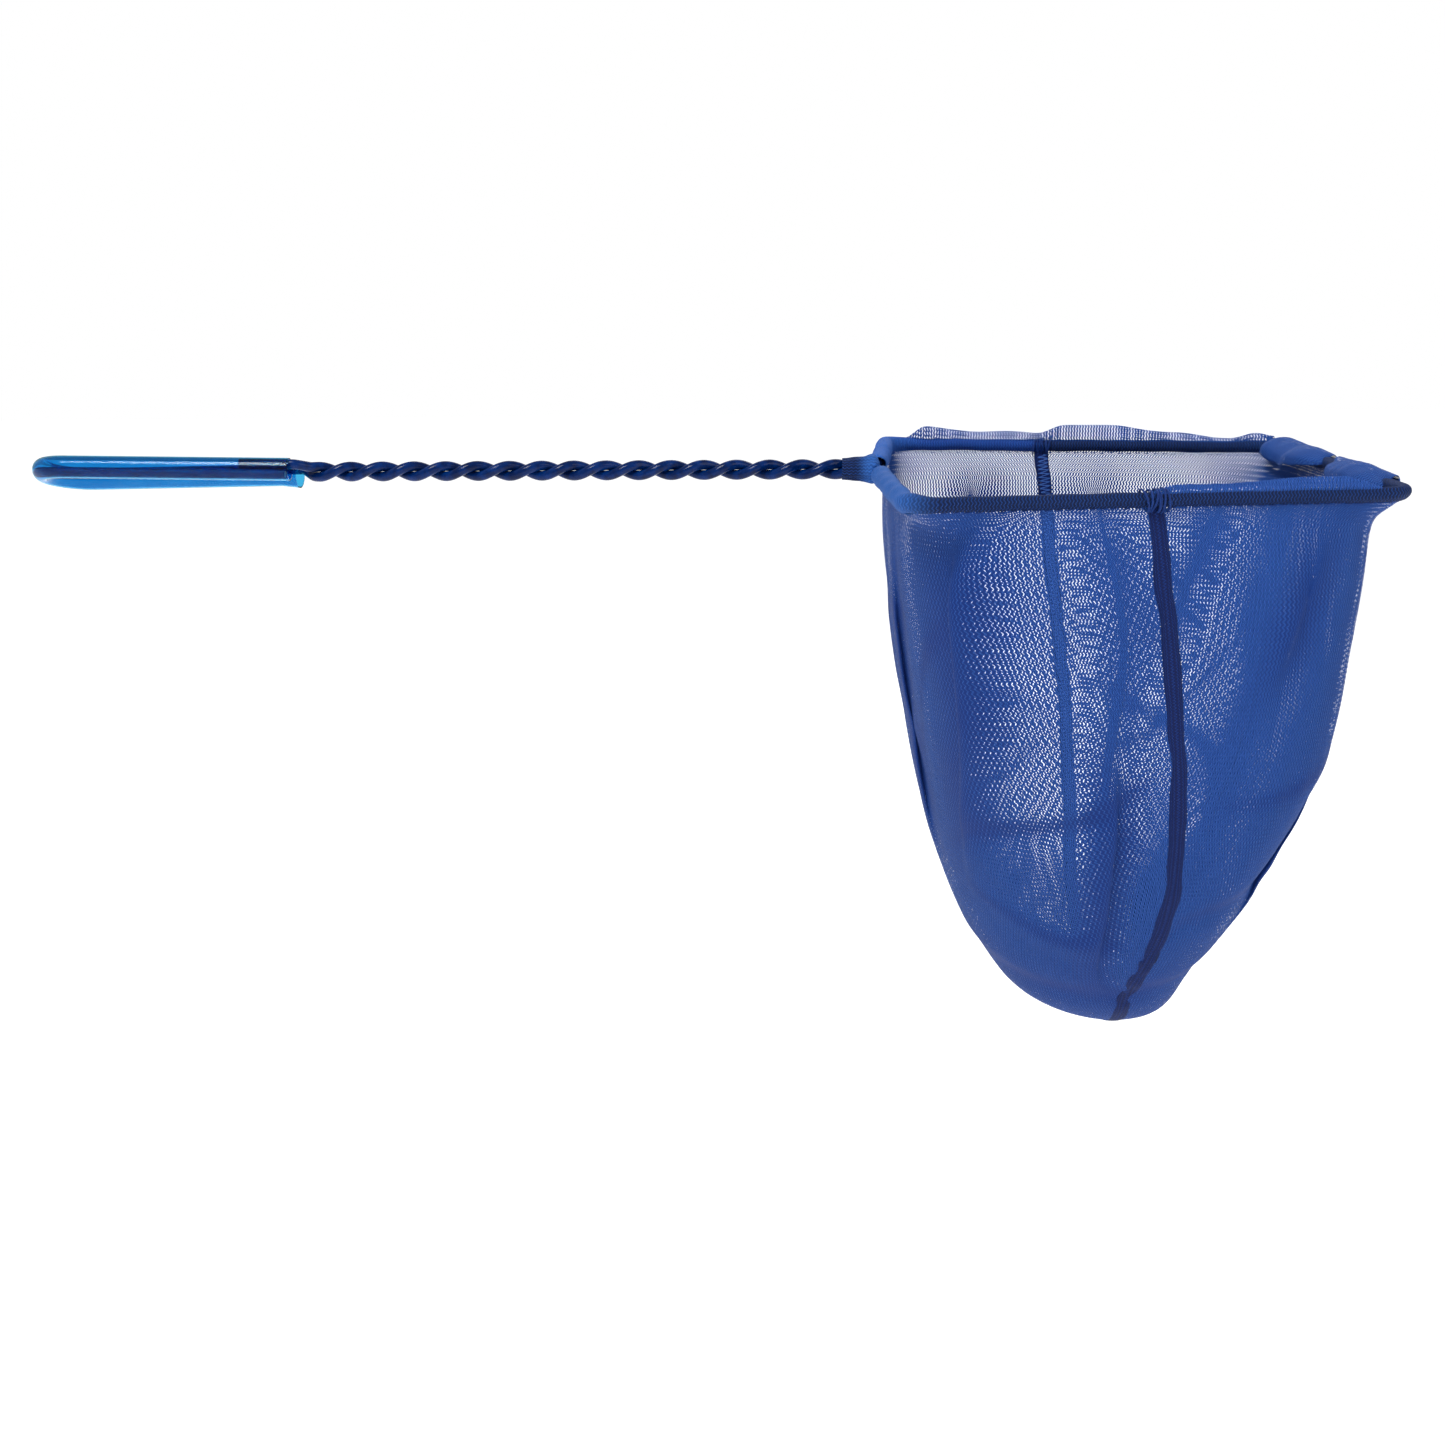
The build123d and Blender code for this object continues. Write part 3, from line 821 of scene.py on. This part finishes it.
def make_panel(name, node, grid, flat):
    outward = node == "net_panel_front"
    piece = cloth_object(name, grid, flat[..., 0], flat[..., 1], flip=not outward)
    share = flat[..., 0] / np.abs(flat[:, :1, 0])
    # The layers value closes the knit's gaps and paints shade into its colour in folds and creases.
    layers_and_shade = cloth_layers_and_fold_shade(int(outward), share, flat[..., 1])
    give(piece, "layers_and_fold_shade", layers_and_shade)
    smooth = piece.modifiers.new("smooth", "SUBSURF")
    smooth.levels = smooth.render_levels = 1
    thicken(piece, KNIT_THICKNESS)
    finish_piece(piece, "bag_mesh", PANEL_KNIT, node)


def seam_route(grids):
    """Points, directions across and outward normals along the side seams and bottom."""
    rear, front = grids

    def border(grid, inset):
        left = grid[:, inset]
        bottom = grid[-1 - inset, 1:-1]
        return np.concatenate([left, bottom, grid[::-1, -1 - inset]])

    line, back, ahead = border(rear, 0), border(rear, 2), border(front, 2)
    along = lengths_along(line)
    spots = np.linspace(0, along[-1], int(along[-1] / (0.8 * MM)))
    line, ahead, back = (interpolate(spots, along, values) for values in (line, ahead, back))
    across = unit(ahead - back)
    kernel = np.ones(9) / 9
    padded = np.pad(line, ((4, 4), (0, 0)), mode="edge")
    line = np.stack([np.convolve(padded[:, k], kernel, "valid") for k in range(3)], -1)
    tangent = unit(np.gradient(line, axis=0))
    across = unit(across - tangent * np.einsum("ij,ij->i", across, tangent)[:, None])
    normal = np.cross(tangent, across)
    centre = grids.reshape(-1, 3).mean(0)
    outwards = np.sign(np.einsum("ij,ij->i", normal, line - centre))
    return line, across, normal * outwards[:, None]


def make_seam(grids):
    """Overlocked seam: a flattened roll of both panels' edges, wavy along its free edge."""
    line, across, normal = seam_route(grids)
    spots = lengths_along(line)[:, None]
    angle = np.linspace(0, 2 * math.pi, SEAM_SIDES, endpoint=False)[None, :]
    taper = 1 - 0.45 * bump_at(spots, spots[-1] / 2, 0.04)
    waves = 1 + 0.10 * soft_wave(spots / (3 * MM), angle, 5, 5, 0.3, 1.0)
    wide = SEAM_STRIP / 2 * taper * waves
    flat_cos, flat_sin = (np.sign(w) * np.abs(w) ** 0.7 for w in (np.cos(angle), np.sin(angle)))
    ribs = 0.10 * np.sin(spots / OVERLOCK_PITCH * 2 * math.pi + 3 * np.cos(angle))
    thick = SEAM_THICK / 2 * (1 + ribs)
    side = across[:, None] * (flat_cos * wide)[..., None]
    rise = normal[:, None] * (flat_sin * thick - 0.3 * MM)[..., None]
    ring = line[:, None] + side + rise
    piece = cloth_object("side_seam", ring, angle * SEAM_STRIP / math.pi, spots, wrap=True)
    finish_piece(piece, "seam_binding", SEAM_KNIT, "bag_seam")


def make_overlock(grids):
    """Looper thread that zigzags over the seam's inner face and wraps its free edge."""
    line, across, normal = seam_route(grids)
    along = lengths_along(line)
    count = int(along[-1] / OVERLOCK_PITCH)
    middle = (np.arange(4 * count) + 0.5) / 4 * OVERLOCK_PITCH
    side = np.tile([-0.8, 0.2, 1.04, 0.2], count) * SEAM_STRIP / 2
    rise = np.tile([-1.1, -1.2, -0.45, -1.2], count) * MM
    jitter = rng.normal(0, 0.12 * MM, (4 * count, 3))
    here, lateral, out = (interpolate(middle, along, values) for values in (line, across, normal))
    knots = here + lateral * side[:, None] + out * rise[:, None] + jitter
    smooth = at_length(knots, np.linspace(0, lengths_along(knots)[-1], 8 * count))
    piece = joined_tubes("overlock_thread", [tube_grid(smooth, OVERLOCK_R, 5)])
    finish_piece(piece, "sewing_thread", PALE_THREAD, "bag_seam_thread")


def make_stitches(grids):
    """Lockstitch dashes under the casing, on the outside of both panels."""
    tubes = []
    for panel in (0, 1):
        rows = grids[panel][:3]
        level = rows[0] * 0.35 + rows[1] * 0.65
        outward = unit((rows[0] - grids[panel][0].mean(0)) * (1, 1, 0))
        line = level + outward * STITCH_OUT
        total = lengths_along(line)[-1]
        for start in np.arange(6 * MM, total - 6 * MM, STITCH_PITCH):
            length = STITCH_LENGTH + rng.normal(0, 0.15 * MM)
            piece = at_length(line, np.linspace(start, start + length, 6))
            piece[:, 2] += rng.normal(0, 0.1 * MM) - np.linspace(0, 0.25 * MM, 6)
            radius = STITCH_R * np.sqrt(np.clip(1 - np.linspace(-0.97, 0.97, 6) ** 4, 0.05, 1))
            tubes.append(tube_grid(piece, radius, 6))
    finish_piece(joined_tubes("hem_stitches", tubes), "sewing_thread", SEAM_THREAD, "hem_stitching")


# ---- hem on the hoop
CASING_STEP = 0.7 * MM         # between a casing's rings
CASING_SIDES = 37
PUCKER = 0.12                  # waves on the casing, in mm
ARM_SLACK = 1.5 * MM           # how much fuller the casing is where it's gathered
HEM_NARROWING = 0.5 * MM       # how far the casing drops towards the panel below
HEM_THICKNESS = 0.3 * MM
FRILL_STEP = 0.8 * MM
FRILL_ROWS = 17
FLAP_ROWS = 25
WRAP_THREAD_R = 0.42 * MM
WRAP_SPACING = 1.5 * MM
WRAP_R = 3.9 * MM              # of the gathering thread's turns round the hem
ARM_END = 120 * MM             # length of a rear arm

# A flap's section from the wire's outside to inside the bag: outwards and up, in mm.
FLAP_SHAPE = [(2.6, -1.0), (3.6, 1.6), (2.2, 4.6), (-1.0, 5.6), (-5.0, 5.0), (-8.5, 3.4),
              (-11.0, 1.0), (-11.6, -3.0)]
# Frills: x from the neck and height over the casing, in mm.
FAR_FRILL = [(20, 0.3), (29, 8.6), (44, 5.6), (60, 4.2), (84, 5.2), (92, 4.4), (102, 8.8),
             (118, 8.4), (150, 6.0), (180, 2.4), (190, 2.2), (200, 5.6), (209, 3.0)]
NEAR_FRILL = [(104, 0.3), (112, 3.0), (140, 3.4), (165, 5.4), (185, 5.0), (200, 0.4)]
# The collar from the twist to its lip: place along it and width, as shares.
COLLAR_PROFILE = [(0.0, 0.96), (0.0, 1.0), (0.15, 1.03), (0.5, 1.1), (0.8, 1.2), (0.95, 1.32),
                  (1.05, 1.38), (1.15, 1.30), (1.23, 1.08), (1.29, 0.7), (1.31, 0.35), (1.32, 0.04)]


def hoop_frames(distances):
    """Point, up and outward direction on the hoop's wire at distances along it."""
    points, ahead, behind = (at_length(HOOP, np.mod(distances + step, HOOP_LENGTH))
                             for step in (0, 0.5 * MM, -0.5 * MM))
    tangent = unit(ahead - behind)
    up = unit(np.array([0, 0, 1.0]) - tangent * tangent[:, 2:3])
    return points, up, np.cross(up, tangent) * -1


def arc_across(ring):
    """Distance along each cross-section from its first point."""
    steps = np.linalg.norm(np.diff(ring, axis=1, prepend=ring[:, :1]), axis=2)
    return np.cumsum(steps, axis=1)


def thicken(piece, thickness):
    solid = piece.modifiers.new("yarn", "SOLIDIFY")
    solid.thickness, solid.offset = thickness, 0.0


def hem_piece(name, replaced, ring, spots, fabric, thickness, slack=0.0):
    """Cloth strip along the hoop; gives the piece and its width laid flat."""
    across = arc_across(ring)
    piece = cloth_object(name, ring, spots, across)
    give(piece, "slack", np.broadcast_to(slack, across.shape))
    thicken(piece, thickness)
    finish_piece(piece, "hem_fabric", fabric, *replaced)
    return piece, float(across[:, -1].mean())


def along_wire(points, up, out, ups, outs):
    """Rows of points at given heights and reaches from the wire's centre line."""
    return points[:, None] + up[:, None] * ups[..., None] + out[:, None] * outs[..., None]


def make_casing(name, node, start, end, seed, fuller, fabric):
    """Knit folded over the wire: a puckered tube that narrows into the panel below."""
    distances = np.arange(start, end, CASING_STEP)
    points, up, out = hoop_frames(distances)
    angle = np.linspace(-math.pi / 2, 1.5 * math.pi, CASING_SIDES)[None, :]
    spots = distances[:, None]
    pucker = soft_wave(spots / (4 * MM), angle * 1.5, seed, 9, 0.3, 1.3)
    slow = soft_wave(spots / (22 * MM), angle, seed + 1, 5, 0.3, 1.0)
    full = fuller(spots)
    down = bump_at(np.abs(angle - math.pi / 2), math.pi, 0.42)
    waves = (PUCKER * pucker + PUCKER * slow) * MM * (1 + 2.5 * full)
    radius = CASING_R + waves + full * ARM_SLACK + down * HEM_NARROWING
    radius = np.maximum(radius, WIRE_R + 0.15 * MM)
    ring = along_wire(points, up, out, np.sin(angle) * radius, np.cos(angle) * radius)
    slack = np.clip(full, 0, 1)
    piece, cut_width = hem_piece(name, [node], ring, spots, fabric, HEM_THICKNESS, slack)


def make_frill(name, node, outline, start, end, lean, seed):
    """Loose doubled edge that stands above the casing in waves."""
    distances = np.arange(start, end, FRILL_STEP)
    points, up, out = hoop_frames(distances)
    height = np.interp(points[:, 0] - NECK_X, *(np.array(outline) * MM).T)
    kernel = np.hanning(15) / np.hanning(15).sum()
    height = np.convolve(np.pad(height, 7, mode="edge"), kernel, "valid")
    fold = np.linspace(0, 1, FRILL_ROWS)[None, :]
    spots = distances[:, None]
    ruffle = soft_wave(spots / (7 * MM), fold * 0.4, seed, 6, 0.4, 1.4)
    fine = soft_wave(spots / (2.5 * MM), fold * 2, seed + 1, 6, 0.4, 1.2)
    rise = np.sin(math.pi * fold) ** 0.55
    tall = height[:, None] * rise * (1 + 0.10 * ruffle) + CASING_R * (0.55 + 0.25 * rise)
    spread = 1.5 * MM * np.cos(math.pi * fold) * (1.1 - 0.5 * rise)
    loose = np.clip(height[:, None] / (4 * MM), 0.1, 1.4)
    sway = (0.9 * ruffle + 0.3 * fine + lean * 1.5) * MM * rise * loose
    ring = along_wire(points, up, out, tall, spread + sway)
    piece, deep = hem_piece(name, [node], ring, spots, FRILL_KNIT, HEM_THICKNESS)


def make_flap(name, start, end, reach, rise, seed):
    """Spare cloth at the front bar, folded over the wire and into the bag."""
    distances = np.arange(start, end, FRILL_STEP)
    points, up, out = hoop_frames(distances)
    fold = np.linspace(0, 1, FLAP_ROWS)
    corners = np.linspace(0, 1, len(FLAP_SHAPE))
    outs, ups = (smooth_curve(fold, corners, side)[None, :] * MM for side in zip(*FLAP_SHAPE))
    spots = distances[:, None]
    ends = (np.sin(math.pi * np.linspace(0, 1, len(distances))) ** 0.45)[:, None]
    wave = soft_wave(spots / (7 * MM), fold[None, :] * 1.5, seed, 6, 0.4, 1.3)
    fine = soft_wave(spots / (2.5 * MM), fold[None, :] * 4, seed + 1, 6, 0.4, 1.3)
    loose = rises(fold, 0.2, 0.6)[None, :]
    outs = np.where(outs < 0, outs * reach * ends * (1 + 0.12 * wave), outs)
    ups = ups * (1 + (rise * ends - 1) * loose) + loose * (0.9 * wave + 0.25 * fine) * MM * ends
    ring = along_wire(points, up, out, ups, outs)
    piece, deep = hem_piece(name, [], ring, spots, FOLDED_KNIT, KNIT_THICKNESS)


def make_wraps(name, distance, turns, radius, seed):
    """Gathering thread wound round the hem where the seam meets it."""
    local = np.random.default_rng(seed)
    tubes = []
    for k in range(turns):
        centre = distance + (k - (turns - 1) / 2) * WRAP_SPACING + local.normal(0, 0.3 * MM)
        points, up, out = hoop_frames(np.array([centre]))
        tangent = np.cross(up, out)
        angle = np.linspace(0, 2 * math.pi, 29)[:, None]
        slant = local.normal(0, 0.8 * MM)
        size = radius + 0.25 * MM * np.sin(2 * angle + k) + local.normal(0, 0.12 * MM)
        loop = points + (up * np.sin(angle) + out * np.cos(angle)) * size + tangent * np.sin(angle) * slant
        loop[:, 2] -= 1.2 * MM * bump_at(angle[:, 0], 1.5 * math.pi, 0.6)
        tubes.append(tube_grid(loop, WRAP_THREAD_R, 7))
    finish_piece(joined_tubes(name, tubes), "sewing_thread", SEAM_THREAD)


def make_collar():
    """Knit tube bunched round the end of the twist, with a rolled lip."""
    low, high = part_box("neck_collar")
    start_r, end_r = 5.5 * MM, (high[1] - low[1]) / 2 - 0.9 * MM
    rings, sides = 40, 96
    corners = range(len(COLLAR_PROFILE))
    steps = np.linspace(0, len(COLLAR_PROFILE) - 1, rings)
    along, wide = (np.interp(steps, corners, side)[:, None] for side in zip(*COLLAR_PROFILE))
    widest = max(width for _, width in COLLAR_PROFILE)
    angle = np.linspace(0, 2 * math.pi, sides, endpoint=False)[None, :]
    bunched = soft_wave(angle * 3, along * 6, 21, 7, 0.5, 2.0)
    creases = 0.035 * np.sin(9 * angle + 2.2 * along) + 0.03 * bunched
    radius = end_r * 0.985 * wide / widest * (1 + creases)
    length = (high[0] - low[0]) * 0.96
    forward = np.broadcast_to(low[0] + along * length, radius.shape)
    ring = np.stack([forward, radius * np.cos(angle), radius * np.sin(angle)], -1)
    length_cut = along * length + wide * 8 * MM
    piece = cloth_object("neck_gather", ring, angle * start_r, length_cut, wrap=True)
    give(piece, "slack", np.broadcast_to(rises(along, 0.45, 0.95), radius.shape))
    thicken(piece, 0.4 * MM)
    # The collar takes the darker copy of the casing knit, which is painted shade.
    finish_piece(piece, "hem_fabric", SHADED_CASING_KNIT, "neck_collar")


def arms_fuller(spots):
    """The rear hem is fuller on its arms than on the bars."""
    near = 1 - rises(spots, ARM_END - 10 * MM, ARM_END + 10 * MM)
    far = rises(spots, HOOP_LENGTH - ARM_END - 25 * MM, HOOP_LENGTH - ARM_END + 15 * MM)
    return near + far


def front_fuller(spots):
    return 0.5 * bump_at(spots, HOOP_LENGTH / 2 + 60 * MM, 30 * MM)


def make_hem():
    start, middle, end = 0.3 * MM, HOOP_LENGTH / 2, HOOP_LENGTH - 0.3 * MM
    # Painted shade and light: the near arm and front bar take the darker copy of the casing knit, the far
    # arm the lighter copy.
    make_casing("hem_rear_near", "hem_casing_rear_near", start, SEAM_NEAR, 31, arms_fuller, SHADED_CASING_KNIT)
    make_casing("hem_front", "hem_casing_front", SEAM_NEAR, SEAM_FAR, 41, front_fuller, SHADED_CASING_KNIT)
    make_casing("hem_rear_far", "hem_casing_rear_far", SEAM_FAR, end, 51, arms_fuller, LIT_FAR_CASING_KNIT)
    far = [hoop_distance(NECK_X + x * MM, 1) for x in (209, 20)]
    near = [hoop_distance(NECK_X + x * MM, -1) for x in (104, 200)]
    make_frill("frill_far", "hem_frill_far", FAR_FRILL, *far, 0.3, 61)
    make_frill("frill_near", "hem_frill_near", NEAR_FRILL, *near, -0.2, 71)
    make_flap("front_flap_near", middle - 66 * MM, middle + 6 * MM, 1.0, 0.9, 81)
    make_flap("front_flap_far", middle + 12 * MM, middle + 92 * MM, 1.3, 1.15, 91)
    make_wraps("seam_wraps_near", SEAM_NEAR, 7, WRAP_R, 101)
    make_wraps("seam_wraps_far", SEAM_FAR, 6, WRAP_R, 111)
    make_collar()


# ---- the wire and grip
def paint_node(name, material):
    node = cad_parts[name]
    if not node.material_slots:
        node.data.materials.append(material)
    for slot in node.material_slots:
        slot.material = material


for jacket in ("hoop_jacket", "handle_jacket_near", "handle_jacket_far"):
    paint_node(jacket, COATING)
paint_node("grip_jacket", GRIP_COATING)
paint_node("core_wire", STEEL)
paint_node("grip_sleeve", VINYL)
GRIDS, FLAT = make_bag_grids()
make_panel("rear_net", "net_panel_rear", GRIDS[0], FLAT[0])
make_panel("front_net", "net_panel_front", GRIDS[1], FLAT[1])
make_seam(GRIDS)
make_overlock(GRIDS)
make_stitches(GRIDS)

make_hem()


# ---- stage, light and camera
CAMERA_FROM_NECK = Vector((-0.0225, -0.6905, 0.0630))
CAMERA_YAW, CAMERA_PITCH, CAMERA_ROLL = (math.radians(a) for a in (-4.32, 15.22, -0.69))
LENS = 35.63
FLOOR_DROP = 0.35
FLOOR_HALF = 12.0
AMBIENT = 0.5
FLOOR_GLOW = 0.6


def make_camera():
    forward = Vector((math.sin(CAMERA_YAW), math.cos(CAMERA_YAW), 0))
    right = Vector((math.cos(CAMERA_YAW), -math.sin(CAMERA_YAW), 0))
    up = Vector((0, 0, 1))
    look = math.cos(CAMERA_PITCH) * forward - math.sin(CAMERA_PITCH) * up
    top = math.sin(CAMERA_PITCH) * forward + math.cos(CAMERA_PITCH) * up
    tilted_right = math.cos(CAMERA_ROLL) * right + math.sin(CAMERA_ROLL) * top
    tilted_top = -math.sin(CAMERA_ROLL) * right + math.cos(CAMERA_ROLL) * top
    data = bpy.data.cameras.new("view")
    data.lens, data.sensor_width = LENS, 36.0
    data.clip_start, data.clip_end = 0.01, 50.0
    camera = bpy.data.objects.new("view", data)
    matrix = Matrix((tilted_right, tilted_top, -look)).transposed().to_4x4()
    matrix.translation = (CAMERA_FROM_NECK[0] + NECK_X, *CAMERA_FROM_NECK[1:])
    camera.matrix_world = matrix
    SCENE.collection.objects.link(camera)
    SCENE.camera = camera


def make_light(name, place, target, size, power):
    data = bpy.data.lights.new(name, "AREA")
    data.shape, data.size, data.energy = "SQUARE", size, power
    light = bpy.data.objects.new(name, data)
    light.location = place
    light.rotation_euler = (Vector(target) - Vector(place)).to_track_quat("-Z", "Y").to_euler()
    SCENE.collection.objects.link(light)


def make_stage():
    n = Nodes("pale_floor")
    n.set(Roughness=0.9, Specular_IOR_Level=0.1)
    n.shader.inputs["Base Color"].default_value = (0.97, 0.97, 0.97, 1.0)
    n.shader.inputs["Emission Color"].default_value = (1.0, 1.0, 1.0, 1.0)
    n.set(Emission_Strength=FLOOR_GLOW)
    size, level = FLOOR_HALF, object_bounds()[0][2] - FLOOR_DROP
    corners = [(-size, -size, level), (size, -size, level), (size, size, level), (-size, size, level)]
    floor = mesh_object("floor", corners, [(0, 1, 2, 3)], smooth=False)
    floor.data.materials.append(n.material)


make_camera()
make_stage()
middle = (NECK_X + 0.1, 0, -0.1)
make_light("key", (NECK_X - 0.7, -1.0, 1.5), middle, 0.7, 34)
make_light("fill", (NECK_X + 1.4, -0.9, 0.7), middle, 1.2, 10)
make_light("rim", (NECK_X + 0.2, 1.6, 1.0), middle, 1.4, 12)
world = bpy.data.worlds.new("studio")
world.use_nodes = True
tree = world.node_tree
backdrop = tree.nodes["Background"]
softbox = tree.nodes.new("ShaderNodeBackground")
for light, strength in ((backdrop, 1.0), (softbox, AMBIENT)):
    light.inputs["Color"].default_value = (1, 1, 1, 1)
    light.inputs["Strength"].default_value = strength
path = tree.nodes.new("ShaderNodeLightPath")
choose = tree.nodes.new("ShaderNodeMixShader")
sources = (path.outputs["Is Camera Ray"], softbox.outputs[0], backdrop.outputs[0])
for source, socket in zip(sources, choose.inputs):
    tree.links.new(source, socket)
tree.links.new(choose.outputs[0], tree.nodes["World Output"].inputs["Surface"])
SCENE.world = world
SCENE.view_settings.view_transform = "Standard"
SCENE.cycles.transparent_max_bounces = 32

bpy.context.view_layer.update()
